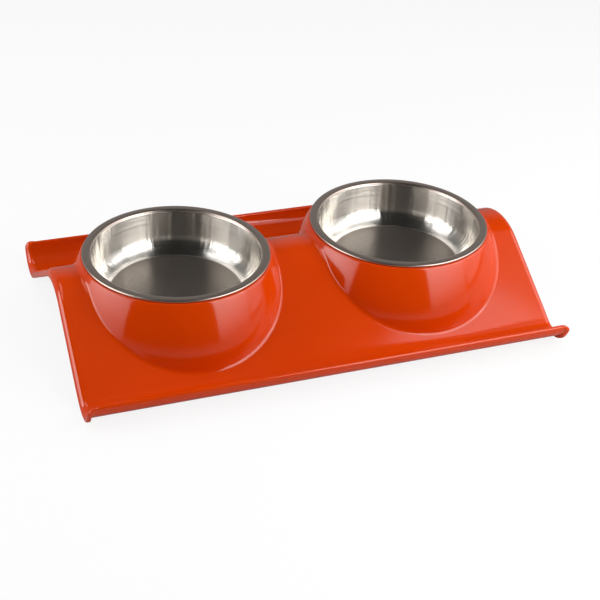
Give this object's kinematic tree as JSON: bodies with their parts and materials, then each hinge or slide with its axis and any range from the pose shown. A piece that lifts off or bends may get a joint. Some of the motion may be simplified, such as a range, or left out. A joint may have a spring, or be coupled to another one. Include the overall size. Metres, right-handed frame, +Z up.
{
  "type": "double pet bowl",
  "caption": "Low pet feeder: a wave-shaped moulded tray with domed holders for drop-in steel bowls, on small rubber feet.",
  "frame": {"origin": "centre of the footprint, on the floor under the rubber feet", "axes": "+X along the tray to its right end, +Y to its rear, +Z up out of the bowls"},
  "size_m": [0.344, 0.2192, 0.0575],
  "materials": {
    "tray_melamine": "glossy orange melamine",
    "bowl_steel": "spun satin stainless steel",
    "foot_rubber": "matt black rubber"
  },
  "bodies": {
    "tray": {"tray": "tray_melamine", "foot_front_left": "foot_rubber", "foot_front_right": "foot_rubber", "foot_rear_left": "foot_rubber", "foot_rear_right": "foot_rubber"},
    "bowl_left": {"bowl_left": "bowl_steel"},
    "bowl_right": {"bowl_right": "bowl_steel"}
  },
  "joints": [
    {"name": "bowl_left_lift", "type": "slide", "parent": "tray", "child": "bowl_left", "axis": [0, 0, 1], "range_m": [0, 0.06]},
    {"name": "bowl_right_lift", "type": "slide", "parent": "tray", "child": "bowl_right", "axis": [0, 0, 1], "range_m": [0, 0.06]}
  ]
}
